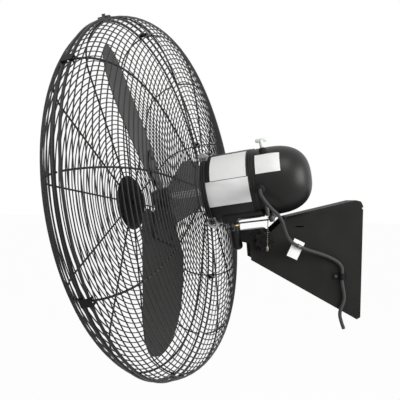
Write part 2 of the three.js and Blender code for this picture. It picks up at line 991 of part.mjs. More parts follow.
// Blades: a pitched, slightly cupped sheet; x runs out along the blade.
function bladeT(x, s) {
  const pitch = PITCH * (1.12 - (0.55 * x) / BLADE_R);
  return BLADE_T + pitch * s - 5 * (s / 90) ** 2;
}
const reach = BLADE_R / BLADE_DRAWN_R;
function leadingEdge(x) {
  const u = Math.min(1, Math.max(0, (x / reach - 290) / 91));
  const root = Math.min(1, Math.max(0, (x / reach - 50) / 40));
  return 33 + (46 - 0.03 * (x / reach - 150)) * Math.sqrt(1 - u ** 2.4) - 22 * (1 - root) ** 2;
}
function trailingEdge(x) {
  const u = Math.min(1, Math.max(0, (x / reach - 190) / 191));
  const root = Math.min(1, Math.max(0, (x / reach - 50) / 84));
  return 33 - BLADE_TRAIL * (1 - u ** 2.2) ** 0.45 + 47 * (1 - root ** 0.8);
}
function blade() {
  const rows = 9;
  const cols = 6;
  const grid = (lift) =>
    Array.from({ length: rows + 1 }, (_, i) => {
      const x = reach * (52 + (BLADE_DRAWN_R - 53) * Math.sin((i / rows) * (Math.PI / 2)));
      const [lead, trail] = [leadingEdge(x), trailingEdge(x)];
      return Array.from({ length: cols + 1 }, (_, j) => {
        const s = trail + ((lead - trail) * j) / cols;
        return new THREE.Vector3(-x, bladeT(x, s) + lift, s);
      });
    });
  return thickSheet(grid(BLADE_SHEET / 2), grid(-BLADE_SHEET / 2));
}
const BLADE_ANGLES = [55, 175, 295].map(degrees);
BLADE_ANGLES.forEach((a, k) =>
  piece(`blade_${k + 1}`, blade().rotateY(a), fanFrame, finish(0x2a2a2a, 0.4, 0.4)),
);

// Spider: boss on the shaft with three arms riveted to the blades.
function spider() {
  const arm = () => {
    const grid = (lift) =>
      [14, 50, 80, 114].map((x) =>
        [-44, -22, 0, 20, 40].map((side) => {
          const s = side * Math.min(1, 0.25 + x / 70);
          return new THREE.Vector3(-x, bladeT(x, s) + lift, s);
        }),
      );
    const low = BLADE_SHEET / 2 + 0.6;
    const plate = thickSheet(grid(-low), grid(-low - 3));
    const rivets = [
      [98, 27],
      [98, -28],
      [66, -38],
      [68, 30],
    ].map(([x, s]) =>
      moved(turned(rod(4.6, -5.6, -2.8), 8), -x, bladeT(x, s) - low + 0.4, s),
    );
    return join(plate, ...rivets);
  };
  const boss = turned(
    closed([
      [shaftR + GAP, BLADE_T - 20],
      [20, BLADE_T - 20],
      [24, BLADE_T - 14],
      [24, BLADE_T + 4],
      [20, BLADE_T + 24],
      [shaftR + GAP, BLADE_T + 24],
    ]),
    20,
  );
  return cut(
    join(boss, ...BLADE_ANGLES.map((a) => arm().rotateY(a))),
    turned(rod(shaftR + GAP, BLADE_T - 60, BLADE_T + 60), 20),
  );
}
piece("blade_spider", spider(), fanFrame, darkSteel());

// ------------------------------------------------------ oscillating drive
const crankPin = [LINK_RADIUS, 0, 0];
const armLow = LINK_Z + 3 + GAP;
function crank() {
  const shaft = turnedZ(rod(6, armLow, AXIS_Z + 12), 16);
  const hub = turnedZ(rod(10, armLow, armLow + 7), 16);
  const bar = box(0, LINK_RADIUS, -7, 7, armLow, armLow + 4.5);
  const end = moved(turnedZ(rod(7.4, armLow, armLow + 4.5), 16), ...crankPin);
  const hole = moved(turnedZ(rod(4.3, armLow - 5, armLow + 15), 12), ...crankPin);
  return moved(cut(join(shaft, hub, bar, end), hole), ...headPoint(CRANK_X, CRANK_T, 0));
}
piece("output_crank", crank(), headFrame, darkSteel());
const boltAt = headPoint(CRANK_X + LINK_RADIUS, CRANK_T, 0);
piece(
  "crank_bolt",
  moved(
    turnedZ(
      [
        [0, LINK_Z - 4],
        [4.6, LINK_Z - 4],
        [5.6, LINK_Z - 3],
        [5.6, LINK_Z - GAP],
        [4, LINK_Z - GAP],
        [4, armLow + 6],
        [0, armLow + 6],
      ],
      12,
    ),
    ...boltAt,
  ),
  headFrame,
  darkSteel(),
);
function wormWheel() {
  const teeth = 20;
  const outline = [];
  for (let k = 0; k < teeth * 2; k++) {
    const a = (k / (teeth * 2)) * Math.PI * 2;
    const r = WHEEL_D / 2 - (k % 2 ? 2 : 0);
    outline.push([r * Math.cos(a), r * Math.sin(a)]);
  }
  return moved(
    cut(prism(outline, 12), turnedZ(rod(6.3, -5, 20), 16)),
    ...headPoint(CRANK_X, CRANK_T, AXIS_Z - 6),
  );
}
piece("worm_wheel", wormWheel(), headFrame, finish(0xd9d2c0, 0.5, 0));

// Link strap from the crank to the pin on the neck.
function link() {
  const [bx, by] = boltAt;
  const ax = LINK_RADIUS;
  const length = Math.hypot(bx - ax, by);
  const turn = Math.atan2(by, bx - ax);
  const bar = box(0, length, -4.6, 4.6, LINK_Z, LINK_Z + 3).rotateZ(turn);
  const eye = turnedZ(rod(7, LINK_Z, LINK_Z + 3), 16);
  return cut(
    join(moved(bar, ax, 0, 0), moved(eye, ax, 0, 0), moved(eye, bx, by, 0)),
    moved(turnedZ(rod(3.9, LINK_Z - 5, LINK_Z + 8), 12), ax, 0, 0),
    moved(turnedZ(rod(4.4, LINK_Z - 5, LINK_Z + 8), 12), bx, by, 0),
  );
}
piece("link_rod", link(), headFrame, darkSteel());

// ---------------------------------------------------------------- guards
// A lattice of flat-sided rings and ribs. rings: [radius, t] from the middle out.
function lattice(rings, ribPhase, parts) {
  const tangents = rings.map((_, i) => {
    const a = rings[Math.max(0, i - 1)];
    const b = rings[Math.min(rings.length - 1, i + 1)];
    const n = Math.hypot(b[0] - a[0], b[1] - a[1]);
    return [(b[0] - a[0]) / n, (b[1] - a[1]) / n];
  });
  const rows = [];
  rings.forEach(([r, t], i) => {
    const [dr, dt] = tangents[i];
    for (const s of [-WIRE / 2, WIRE / 2])
      rows.push({ r: r + dr * s, t: t + dt * s, nr: -dt, nt: dr });
  });
  const cols = [];
  for (let k = 0; k < RIBS; k++) {
    const a = ribPhase + (k * 2 * Math.PI) / RIBS;
    cols.push({ a, s: -WIRE / 2, rib: true });
    cols.push({ a, s: WIRE / 2, rib: false });
    for (let m = 1; m < parts; m++)
      cols.push({ a: a + (m * 2 * Math.PI) / (RIBS * parts), s: 0, rib: false });
  }
  const point = (row, col, side) => {
    const r = row.r + (side * row.nr * WIRE) / 2;
    const t = row.t + (side * row.nt * WIRE) / 2;
    return polar(r, col.a + col.s / r, t);
  };
  const filled = (i, j) => i % 2 === 0 || cols[(j + cols.length) % cols.length].rib;
  const at = [];
  const quad = (a, b, c, d) => {
    for (const p of [a, b, c, a, c, d]) at.push(...p.toArray());
  };
  const last = rows.length - 1;
  for (let i = 0; i < last; i++)
    for (let j = 0; j < cols.length; j++) {
      if (!filled(i, j)) continue;
      const [c0, c1] = [cols[j], cols[(j + 1) % cols.length]];
      const p = (row, col, side) => point(rows[row], col, side);
      quad(p(i, c0, 1), p(i, c1, 1), p(i + 1, c1, 1), p(i + 1, c0, 1));
      quad(p(i, c0, -1), p(i + 1, c0, -1), p(i + 1, c1, -1), p(i, c1, -1));
      if (i === 0 || !filled(i - 1, j))
        quad(p(i, c0, -1), p(i, c1, -1), p(i, c1, 1), p(i, c0, 1));
      if (i + 1 === last || !filled(i + 1, j))
        quad(p(i + 1, c0, 1), p(i + 1, c1, 1), p(i + 1, c1, -1), p(i + 1, c0, -1));
      if (!filled(i, j - 1))
        quad(p(i, c0, 1), p(i + 1, c0, 1), p(i + 1, c0, -1), p(i, c0, -1));
      if (!filled(i, j + 1))
        quad(p(i, c1, -1), p(i + 1, c1, -1), p(i + 1, c1, 1), p(i, c1, 1));
    }
  const g = new THREE.BufferGeometry();
  g.setAttribute("position", new THREE.Float32BufferAttribute(at, 3));
  return g;
}

const RIB_PHASE = degrees(8);
const shoulder = (k) => [
  FACE_R + (GUARD_R - FACE_R) * Math.sin(k),
  RIM_T + (FACE_T - RIM_T) * Math.cos(k),
];
const frontRings = [60, 146, 234, FACE_R]
  .map((r) => [r, FACE_T])
  .concat([shoulder(degrees(34)), shoulder(degrees(60)), shoulder(degrees(79))]);
piece("front_guard", lattice(frontRings, RIB_PHASE, 3), fanFrame, blackWire());

const backAt = (r) =>
  RIM_T - (RIM_T - BACK_T) * Math.sqrt(Math.max(0, 1 - (r / GUARD_R) ** BACK_POWER));
const rearRings = [88.5, 165, 245]
  .concat([315, 370, 405].map((r) => (r * GUARD_R) / 420))
  .map((r) => [r, backAt(r)])
  .concat([[GUARD_R, RIM_T + 4.8]]);
piece("rear_guard", lattice(rearRings, RIB_PHASE, 3), fanFrame, blackWire());

// Clips over the two rim rings, straddling a rib.
const frontRim = frontRings[frontRings.length - 1];
const clipLow = RIM_T + 4.8 - WIRE / 2 - 3.2;
const clipHigh = frontRim[1] + WIRE / 2 + 3.4;
function clip() {
  const r0 = GUARD_R + WIRE / 2 + 0.55 + GAP; // the rim's bars lean outwards a little
  const parts = [box(-8, 8, clipLow, clipHigh, r0, r0 + 2.2)];
  for (const [y0, y1] of [
    [clipLow, clipLow + 2.2],
    [clipHigh - 2.2, clipHigh],
  ])
    for (const [x0, x1] of [
      [-8, -3.4],
      [3.4, 8],
    ])
      parts.push(box(x0, x1, y0, y1, r0 - 8, r0 + 1));
  return join(...parts);
}
for (let k = 0; k < 6; k++)
  piece(
    `guard_clip_${k + 1}`,
    radially(clip(), RIB_PHASE + degrees(30 + 60 * k), 0),
    fanFrame,
    blackWire(),
  );
piece(
  "guard_latch",
  radially(
    join(
      clip(),
      turnedZ(rod(4.2, GUARD_R + 3, GUARD_R + 10), 8).translate(
        0,
        (clipLow + clipHigh) / 2,
        0,
      ),
    ),
    RIB_PHASE + degrees(60),
    0,
  ),
  fanFrame,
  darkSteel(),
);

// Hub badge in front of the front guard, clamped by a plate behind it.
const badgeBack = FACE_T + WIRE / 2 + GAP;
piece(
  "hub_badge",
  turned(
    [
      [0, FACE_T - 4],
      [5, FACE_T - 4],
      [5, badgeBack],
      [67, badgeBack],
      [67, badgeBack + 1.5],
      [63, badgeBack + 3],
      [0, badgeBack + 3],
    ],
    32,
  ),
  fanFrame,
  finish(0x17171a, 0.3, 0.3),
);
piece(
  "badge_clamp",
  turned(ring(5.3, 66, FACE_T - WIRE / 2 - GAP - 2, FACE_T - WIRE / 2 - GAP), 32),
  fanFrame,
  blackPaint(),
);

// Ears that hold the rear guard on the motor, with their screws.
const EAR_HALF = 9;
const EAR_SHEET = 2.2;
const earLift = MOTOR_R + GAP;
const lipT = BACK_T - WIRE / 2 - GAP;
EAR_ANGLES.forEach((a, k) => {
  const hole = turnedZ(rod(2.5, MOTOR_R - 5, MOTOR_R + 9), 10).translate(0, bellT + 3.5, 0);
  const strap = box(-EAR_HALF, EAR_HALF, lipT - 18, lipT, earLift, earLift + EAR_SHEET);
  const lip = box(-EAR_HALF, EAR_HALF, lipT - EAR_SHEET, lipT, earLift, earLift + 13);
  const tabFoot = earLift + 1;
  const tab = cut(
    sidePrism(
      [
        [lipT, tabFoot],
        [lipT, tabFoot + 11],
        [lipT - 14, tabFoot + 20],
        [lipT - 25, tabFoot + 9],
        [lipT - 18, tabFoot],
      ],
      -EAR_HALF,
      EAR_SHEET - EAR_HALF,
    ),
    moved(turnedX(rod(2.8, -12, -4), 12), 0, lipT - 14, tabFoot + 10),
  );
  piece(
    `guard_ear_${k + 1}`,
    radially(cut(join(strap, lip, tab), hole), a, 0),
    fanFrame,
    steel(),
  );
  piece(
    `ear_screw_${k + 1}`,
    radially(
      turnedZ(
        [
          [0, MOTOR_R - 9],
          [2.2, MOTOR_R - 9],
          [2.2, earLift + 2.5],
          [4.6, earLift + 2.5],
          [3.8, earLift + 4.8],
          [0, earLift + 5],
        ],
        12,
      ),
      a,
      bellT + 3.5,
    ),
    fanFrame,
    darkSteel(),
  );
});

// ------------------------------------------------------------------ cord
// From the grommet down over the bracket's side, through the clip, to its end.
const CORD_ROUTE = [
  [88.3, -239.5, 156.4],
  [98.7, -242.1, 153.7],
  [109.0, -244.7, 151.0],
  [117.0, -245.6, 145.8],
  [120.2, -241.0, 135.6],
  [119.2, -230.5, 122.5],
  [118.5, -217.8, 109.5],
  [115.5, -206.0, 99.5],
  [110.0, -196.5, 86.5],
  [101.0, -188.7, 68.3],
  [90.0, -179.2, 51.2],
  [78.5, -167.2, 39.0],
  [68.5, -150.8, 30.3],
  [60.8, -127.5, 21.4],
  [56.0, -104.0, 14.5],
  [52.6, -84.0, 8.0],
  [50.6, -68.0, 0.8],
  [49.6, -54.5, -7.5],
  [49.5, -47.2, -18.0],
  [49.5, -46.0, -28.0],
  [49.5, -46.0, -38.0],
  [49.5, -46.0, -48.0],
  [49.5, -44.0, -61.0],
  [49.5, -40.9, -76.0],
  [49.9, -40.6, -92.0],
  [51.0, -46.0, -108.0],
  [51.3, -49.3, -121.0],
  [50.4, -45.6, -139.0],
  [49.5, -39.2, -156.0],
];
const route = CORD_ROUTE.map((p) => new THREE.Vector3(...p));
const section = new THREE.Shape(
  Array.from({ length: 8 }, (_, k) => {
    const a = ((k + 0.5) / 8) * Math.PI * 2;
    return new THREE.Vector2((CORD_D / 2) * Math.cos(a), (CORD_D / 2) * Math.sin(a));
  }),
);
piece(
  "power_cord",
  new THREE.ExtrudeGeometry(section, {
    steps: 46,
    extrudePath: new THREE.CatmullRomCurve3(route),
    bevelEnabled: false,
  }),
  world,
  rubber(),
);

// Blank tag behind the cord, held by a strap over it.
const tagAt = Math.round(route.length * 0.42); // route point that carries the tag
const tagAlong = route[tagAt + 1].clone().sub(route[tagAt - 1]).normalize();
const tagOut = new THREE.Vector3(1, 0, 0).addScaledVector(tagAlong, -tagAlong.x).normalize();
const tagDown = new THREE.Vector3().crossVectors(tagAlong, tagOut);
const tagFrame = new THREE.Matrix4().makeBasis(tagAlong, tagDown, tagOut.negate());
const strapIn = CORD_D / 2 + GAP + 0.3;
const strap = cut(
  turnedX(rod(strapIn + 1, -3.5, 3.5), 16),
  turnedX(rod(strapIn, -5, 5), 16),
);
tagFrame.setPosition(route[tagAt]);
piece(
  "cord_tag",
  join(strap, box(-15, 15, -12, 30, strapIn + 0.2, strapIn + 1.2)),
  tagFrame,
  paper(),
);

export default group;
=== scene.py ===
import json
import math

import bmesh
import bpy
from mathutils import Matrix, Vector


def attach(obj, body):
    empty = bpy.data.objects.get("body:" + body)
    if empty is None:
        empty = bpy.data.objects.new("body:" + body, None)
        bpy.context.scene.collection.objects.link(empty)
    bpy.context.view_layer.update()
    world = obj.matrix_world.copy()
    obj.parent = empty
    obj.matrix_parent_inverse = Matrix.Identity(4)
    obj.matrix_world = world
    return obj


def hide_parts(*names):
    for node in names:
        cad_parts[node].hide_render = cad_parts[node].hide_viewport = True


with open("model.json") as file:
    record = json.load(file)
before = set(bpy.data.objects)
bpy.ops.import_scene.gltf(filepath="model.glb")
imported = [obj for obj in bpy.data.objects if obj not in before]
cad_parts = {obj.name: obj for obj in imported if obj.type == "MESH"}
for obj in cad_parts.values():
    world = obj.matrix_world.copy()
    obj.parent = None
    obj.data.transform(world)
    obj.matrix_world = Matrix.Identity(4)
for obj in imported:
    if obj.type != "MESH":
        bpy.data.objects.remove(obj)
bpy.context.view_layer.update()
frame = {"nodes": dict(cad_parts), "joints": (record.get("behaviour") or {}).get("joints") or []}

# Studio: a pale floor well below the fan and an open white room behind it. One lamp
# hangs above the knob side, a broad one stands towards the wall, and a weaker one in
# front. The camera looks across the fan from the knob side, level with the motor.
studio = bpy.context.scene
studio.view_settings.view_transform = "Standard"

EYE = Vector((1.0942, -0.3666, 0.1260))
looking = Vector((-0.99940734, 0.03434869, -0.00226767))
level = looking.cross(Vector((0, 0, 1))).normalized()
ROLL = math.radians(1.5)
PICTURE = 400  # the photograph's width and height in pixels
LENS_PIXELS, SHIFT_X_PIXELS, SHIFT_Y_PIXELS = 465.3, -18.5, 2.0
upright = level.cross(looking)
rightward = level * math.cos(ROLL) + upright * math.sin(ROLL)
upward = upright * math.cos(ROLL) - level * math.sin(ROLL)
lens = bpy.data.cameras.new("camera")
lens.sensor_width = 36
lens.lens = lens.sensor_width * LENS_PIXELS / PICTURE
lens.shift_x = SHIFT_X_PIXELS / PICTURE
lens.shift_y = SHIFT_Y_PIXELS / PICTURE
camera = bpy.data.objects.new("camera", lens)
camera.matrix_world = Matrix.Translation(EYE) @ Matrix(
    (rightward, upward, -looking)).transposed().to_4x4()
studio.collection.objects.link(camera)
studio.camera = camera


def lamp(name, place, aim, size, watts):
    light = bpy.data.lights.new(name, "AREA")
    light.energy = watts
    light.size = size
    made = bpy.data.objects.new(name, light)
    made.location = place
    made.rotation_euler = (Vector(aim) - Vector(place)).to_track_quat("-Z", "Y").to_euler()
    studio.collection.objects.link(made)


lamp("key_lamp", (1.3, -0.2, 1.7), (0, -0.3, 0.1), 1.0, 19)
lamp("side_lamp", (1.0, 1.6, 0.5), (0, -0.2, 0.1), 1.3, 47)
lamp("front_lamp", (0.9, -2.2, 0.7), (0, -0.4, 0.1), 1.2, 15)


class Sock:
    """A node socket that arithmetic can be written with."""

    def __init__(self, tree, socket):
        self.tree, self.socket = tree, socket

    def maths(self, kind, a, b):
        made = self.tree.nodes.new("ShaderNodeMath")
        made.operation = kind
        for slot, value in zip(made.inputs, (a, b)):
            plug(self.tree, slot, value)
        return Sock(self.tree, made.outputs[0])

    def __add__(self, other): return self.maths("ADD", self, other)
    def __radd__(self, other): return self.maths("ADD", other, self)
    def __mul__(self, other): return self.maths("MULTIPLY", self, other)
    def __rmul__(self, other): return self.maths("MULTIPLY", other, self)


def plug(tree, slot, value):
    """Links a socket to a slot, or writes a value in it. A colour has three numbers."""
    if isinstance(value, Sock):
        tree.links.new(value.socket, slot)
    elif isinstance(value, tuple) and slot.type == "RGBA":
        slot.default_value = (*value, 1)
    else:
        slot.default_value = value


class Nodes:
    """A node tree that nodes are added to with one method."""

    def __init__(self, tree):
        self.tree = tree

    def node(self, kind, settings=None, out=0, slots=None, **values):
        made = self.tree.nodes.new("ShaderNode" + kind)
        for key, value in (settings or {}).items():
            setattr(made, key, value)
        for key, value in values.items():
            plug(self.tree, made.inputs[key.replace("_", " ")], value)
        for key, value in (slots or {}).items():
            plug(self.tree, made.inputs[key], value)
        return Sock(self.tree, made.outputs[out])

    def seen(self):
        """1 for a ray from the camera, a mirror or a clear pane, and 0 for the rest."""
        most = self.node("LightPath", out="Is Camera Ray")
        for kind in ("Glossy", "Transmission"):
            ray = self.node("LightPath", out=f"Is {kind} Ray")
            most = most.maths("MAXIMUM", most, ray)
        return most


class Finish(Nodes):
    """A material: its shader, and the nodes that feed it."""

    def __init__(self, name):
        self.material = bpy.data.materials.new(name)
        self.material.use_nodes = True
        super().__init__(self.material.node_tree)
        self.shader = self.tree.nodes["Principled BSDF"]

    def noise(self, scale, detail=2.0, stretch=None):
        place = self.node("TexCoord", out="Object")
        if stretch:
            place = self.node("Mapping", Vector=place, Scale=stretch)
        return self.node("TexNoise", Vector=place, Scale=scale, Detail=detail)

    def blend(self, amount, first, second):
        """Mixes two colours. The Mix node's colour slots are numbers 6 and 7, its result 2."""
        return self.node("Mix", {"data_type": "RGBA"}, 2, {0: amount, 6: first, 7: second})

    def step(self, value, low, high):
        return self.node("MapRange", {"clamp": True}, Value=value, From_Min=low, From_Max=high)

    def set(self, **values):
        for key, value in values.items():
            plug(self.tree, self.shader.inputs[key.replace("_", " ")], value)
        return self

    def dull(self, level):
        self.shader.inputs["Specular IOR Level"].default_value = level
        return self

    def bumpy(self, height, distance, strength=1.0):
        made = self.node("Bump", Height=height, Distance=distance, Strength=strength)
        plug(self.tree, self.shader.inputs["Normal"], made)
        return self


floor_paint = Finish("floor_paint")
floor_paint.set(Base_Color=(0.86, 0.86, 0.86), Roughness=0.9)
lit = floor_paint.node("Emission", Color=(1, 1, 1), Strength=1.0)
painted = Sock(floor_paint.tree, floor_paint.shader.outputs[0])
LIT_SHARE = 0.97  # the rest of what is seen is the paint, which takes the fan's shadow
both = floor_paint.node("MixShader", slots={0: floor_paint.seen() * LIT_SHARE, 1: painted, 2: lit})
plug(floor_paint.tree, floor_paint.tree.nodes["Material Output"].inputs["Surface"], both)
FLOOR_Z, FLOOR_HALF = -1.1, 30
sheet = bmesh.new()
bmesh.ops.create_grid(sheet, x_segments=1, y_segments=1, size=FLOOR_HALF)
bmesh.ops.translate(sheet, verts=sheet.verts, vec=(0, 0, FLOOR_Z))
floor_mesh = bpy.data.meshes.new("floor")
sheet.to_mesh(floor_mesh)
sheet.free()
floor_mesh.materials.append(floor_paint.material)
floor = bpy.data.objects.new("floor", floor_mesh)
studio.collection.objects.link(floor)

room = bpy.data.worlds.new("room")
studio.world = room
room.use_nodes = True
room_nodes = Nodes(room.node_tree)
FILL = 0.27  # the light that the room gives to the fan
backdrop = room.node_tree.nodes["Background"]
plug(room.node_tree, backdrop.inputs["Color"], (1, 1, 1))
plug(room.node_tree, backdrop.inputs["Strength"],
     room_nodes.node("MapRange", Value=room_nodes.seen(), To_Min=FILL, To_Max=1.0))

# Power cord: a round rubber lead of 8 mm, from the grommet on the motor down over the
# bracket's side and through its clip. It ends cut square below the bracket, and a
# blank tag sits on it half way.
CORD_ROUTE = [
    (0.0883, -0.2395, 0.1564), (0.0987, -0.2421, 0.1537), (0.1090, -0.2447, 0.1510),
    (0.1170, -0.2456, 0.1458), (0.1202, -0.2410, 0.1356), (0.1192, -0.2305, 0.1225),
    (0.1185, -0.2178, 0.1095), (0.1155, -0.2060, 0.0995), (0.1100, -0.1965, 0.0865),
    (0.1010, -0.1887, 0.0683), (0.0900, -0.1792, 0.0512), (0.0785, -0.1672, 0.0390),
    (0.0685, -0.1508, 0.0303), (0.0608, -0.1275, 0.0214), (0.0560, -0.1040, 0.0145),
    (0.0526, -0.0840, 0.0080), (0.0506, -0.0680, 0.0008), (0.0496, -0.0545, -0.0075),
    (0.0495, -0.0472, -0.0180), (0.0495, -0.0460, -0.0280), (0.0495, -0.0460, -0.0380),
    (0.0495, -0.0460, -0.0480), (0.0495, -0.0440, -0.0610), (0.0495, -0.0409, -0.0760),
    (0.0499, -0.0406, -0.0920), (0.0510, -0.0460, -0.1080), (0.0513, -0.0493, -0.1210),
    (0.0504, -0.0456, -0.1390), (0.0495, -0.0392, -0.1560),
]
CORD_WIDTH = 0.008

cord_rubber = Finish("cord_rubber")
grain = cord_rubber.noise(900, 3)
cord_rubber.dull(0.2)
cord_rubber.set(Base_Color=cord_rubber.blend(grain, (0.035, 0.034, 0.036), (0.06, 0.058, 0.062)),
                Roughness=0.5 + grain * 0.2).bumpy(grain, 0.0001, 0.4)


lead_line = bpy.data.curves.new("power_lead", "CURVE")
lead_line.dimensions = "3D"
lead_line.bevel_depth = CORD_WIDTH / 2
lead_line.bevel_resolution = 3
lead_line.use_fill_caps = True
lead_line.resolution_u = 6
spline = lead_line.splines.new("BEZIER")
spline.bezier_points.add(len(CORD_ROUTE) - 1)
for knot, point in zip(spline.bezier_points, CORD_ROUTE):
    knot.co = point
    knot.handle_left_type = knot.handle_right_type = "AUTO"
lead_line.materials.append(cord_rubber.material)
power_cord = bpy.data.objects.new("power_lead", lead_line)
studio.collection.objects.link(power_cord)
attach(power_cord, "bracket")
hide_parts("power_cord")

# Cord tag: a stiff white film sheet behind the cord, held by a clear band over it.
# The sheet is bare.
TAG_POINT = 12  # the cord's point behind which the tag sits
ALONG = (Vector(CORD_ROUTE[TAG_POINT + 1]) - Vector(CORD_ROUTE[TAG_POINT - 1])).normalized()
OUT = (Vector((1, 0, 0)) - ALONG * ALONG.x).normalized()
tag_place = Matrix((ALONG, ALONG.cross(OUT), -OUT)).transposed().to_4x4()
tag_place.translation = Vector(CORD_ROUTE[TAG_POINT])


def keep(name, bm, finish, body, replaces=(), place=None, sharp=35):
    """Turns a bmesh into a finished piece that rides on a body."""
    if place:
        bmesh.ops.transform(bm, matrix=place, verts=bm.verts)
    for edge in bm.edges:
        edge.smooth = not edge.is_manifold or edge.calc_face_angle(0) < math.radians(sharp)
    for face in bm.faces:
        face.smooth = True
    mesh = bpy.data.meshes.new(name)
    bm.to_mesh(mesh)
    bm.free()
    mesh.materials.append(finish.material)
    made = bpy.data.objects.new(name, mesh)
    studio.collection.objects.link(made)
    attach(made, body)
    if replaces:
        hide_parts(*([replaces] if isinstance(replaces, str) else replaces))
    return made


white_film = Finish("white_film")
fibre = white_film.noise(260, 4)
cloud = white_film.noise(22, 2)
white_film.set(Base_Color=white_film.blend(cloud, (0.78, 0.78, 0.76), (0.90, 0.90, 0.89)),
               Roughness=0.38 + fibre * 0.14).bumpy(fibre, 0.0002, 0.15)


def block(bm, low, high, bevel=0.0):
    """Adds a box between two corners, with its edges rounded."""
    made = bmesh.ops.create_cube(bm, size=1)["verts"]
    size = [b - a for a, b in zip(low, high)]
    bmesh.ops.scale(bm, vec=size, verts=made)
    bmesh.ops.translate(bm, vec=[(a + b) / 2 for a, b in zip(low, high)], verts=made)
    if bevel:
        edges = list({e for v in made for e in v.link_edges})
        bmesh.ops.bevel(bm, geom=edges, offset=bevel, segments=2, affect="EDGES",
                        profile=0.5, material=-1)


tag = bmesh.new()
block(tag, (-0.015, -0.012, 0.0048), (0.015, 0.030, 0.0058), 0.0003)
cord_tag = keep("blank_tag", tag, white_film, "bracket", "cord_tag", tag_place)

clear_film = Finish("clear_film")
clear_film.set(
    Base_Color=clear_film.blend(clear_film.noise(300), (0.04, 0.04, 0.042), (0.07, 0.07, 0.072)),
    Roughness=0.2)


def turn(bm, profile, steps=96):
    """Adds a turned piece: a profile of (radius, height) spun round the y axis."""
    start = len(bm.verts)
    ring = [bm.verts.new((r, y, 0)) for r, y in profile]
    edges = [bm.edges.new(pair) for pair in zip(ring, ring[1:])]
    bmesh.ops.spin(bm, geom=ring + edges, cent=(0, 0, 0), axis=(0, 1, 0),
                   angle=2 * math.pi, steps=steps, use_merge=True, use_duplicate=False)
    bm.verts.ensure_lookup_table()
    made = bm.verts[start:]
    bmesh.ops.remove_doubles(bm, verts=made, dist=1e-6)
    bmesh.ops.recalc_face_normals(bm, faces=bm.faces)


band = bmesh.new()
BAND_IN, BAND_OUT, BAND_HALF = 0.0045, 0.0048, 0.004
turn(band, [(BAND_IN, -BAND_HALF), (BAND_OUT, -BAND_HALF), (BAND_OUT, BAND_HALF),
            (BAND_IN, BAND_HALF), (BAND_IN, -BAND_HALF)], 32)
bmesh.ops.rotate(band, cent=(0, 0, 0), matrix=Matrix.Rotation(-math.pi / 2, 3, "Z"), verts=band.verts)
tag_band = keep("tag_band", band, clear_film, "bracket", place=tag_place)

# Wall bracket: folded 3 mm steel sheet, powder coated black. Its back plate is screwed
# to the wall, and the open nose holds the neck between its two sides.
powder_coat = Finish("powder_coat")
peel = powder_coat.noise(1400, 2)
dust = powder_coat.noise(14, 5)
powder_coat.dull(0.06)
powder_coat.set(
    Base_Color=powder_coat.blend(
        powder_coat.step(dust, 0.35, 0.7), (0.016, 0.016, 0.0155), (0.022, 0.022, 0.0208)),
    Roughness=0.42 + dust * 0.16).bumpy(peel, 0.00012, 0.5)


def dress(finish, *names):
    """Gives CAD nodes a finish."""
    for name in names:
        for slot in frame["nodes"][name].material_slots:
            slot.material = finish.material


dress(powder_coat, "wall_bracket")

# Cord clip: a moulded black saddle held by one screw. The bolts, the drive's crank and
# link, the guard's latch and the ear screws have the screw's blackened steel.
moulded = Finish("moulded_plastic")
texture = moulded.noise(2200, 2)
moulded.dull(0.12)
moulded.set(
    Base_Color=moulded.blend(moulded.noise(40, 3), (0.003, 0.003, 0.0032), (0.007, 0.007, 0.0073)),
    Roughness=0.30 + texture * 0.2).bumpy(texture, 0.0001, 0.4)
black_steel = Finish("blackened_steel")
wear = black_steel.noise(180, 4)
black_steel.set(Base_Color=black_steel.blend(wear, (0.035, 0.034, 0.034), (0.085, 0.083, 0.08)),
                Metallic=0.85, Roughness=0.32 + wear * 0.25).bumpy(wear, 0.0001, 0.3)
dress(moulded, "cord_clip")
dress(black_steel, "link_rod", "guard_latch", "cord_clip_screw", "tilt_bolt", "anchor_pin",
      "crank_bolt", "output_crank", "ear_screw_1", "ear_screw_2", "ear_screw_3")

# Tilt knob: a moulded star knob with seven round lobes, screwed on the tilt bolt. A
# raised cap stands on its face, and a collar spaces it from the bracket.
knob_seat = Vector(next(j for j in frame["joints"] if j["name"] == "tilt")["pos_m"])
star = bmesh.new()
LOBES, POINTS_PER_LOBE = 7, 12
KNOB_R, LOBE_DEEP = 0.0204, 0.0034
KNOB_THICK, KNOB_GAP, KNOB_ROUND = 0.0145, 0.0050, 0.003
BRACKET_HALF = 0.045
disc = bmesh.ops.create_circle(
    star, cap_ends=True, segments=LOBES * POINTS_PER_LOBE, radius=KNOB_R)["verts"]
for v in disc:
    angle = math.atan2(v.co.y, v.co.x)
    reach = KNOB_R + LOBE_DEEP * math.cos(LOBES * angle)
    v.co = Vector((reach * math.cos(angle), reach * math.sin(angle), 0))
top = bmesh.ops.extrude_face_region(star, geom=star.faces[:])["geom"]
bmesh.ops.translate(
    star, vec=(0, 0, KNOB_THICK), verts=[g for g in top if isinstance(g, bmesh.types.BMVert)])
bmesh.ops.recalc_face_normals(star, faces=star.faces)
SQUARE_EDGE = 1.2  # radians between faces, above which an edge is one of the knob's rims
rims = [e for e in star.edges if e.calc_face_angle(0) > SQUARE_EDGE]
bmesh.ops.bevel(star, geom=rims, offset=KNOB_ROUND, segments=4, affect="EDGES", profile=0.5,
                material=-1)
bmesh.ops.translate(star, vec=(0, 0, KNOB_GAP), verts=star.verts)
boss = bmesh.new()
turn(boss, [(0.0, 0.0172), (0.0072, 0.0172), (0.0088, 0.0180), (0.0090, 0.0194), (0.0075, 0.0212),
            (0.0, 0.0218)], 48)
turn(boss, [(0.0052, 0.0003), (0.0104, 0.0003), (0.0110, 0.0010), (0.0110, 0.0056),
            (0.0052, 0.0056), (0.0052, 0.0003)], 48)


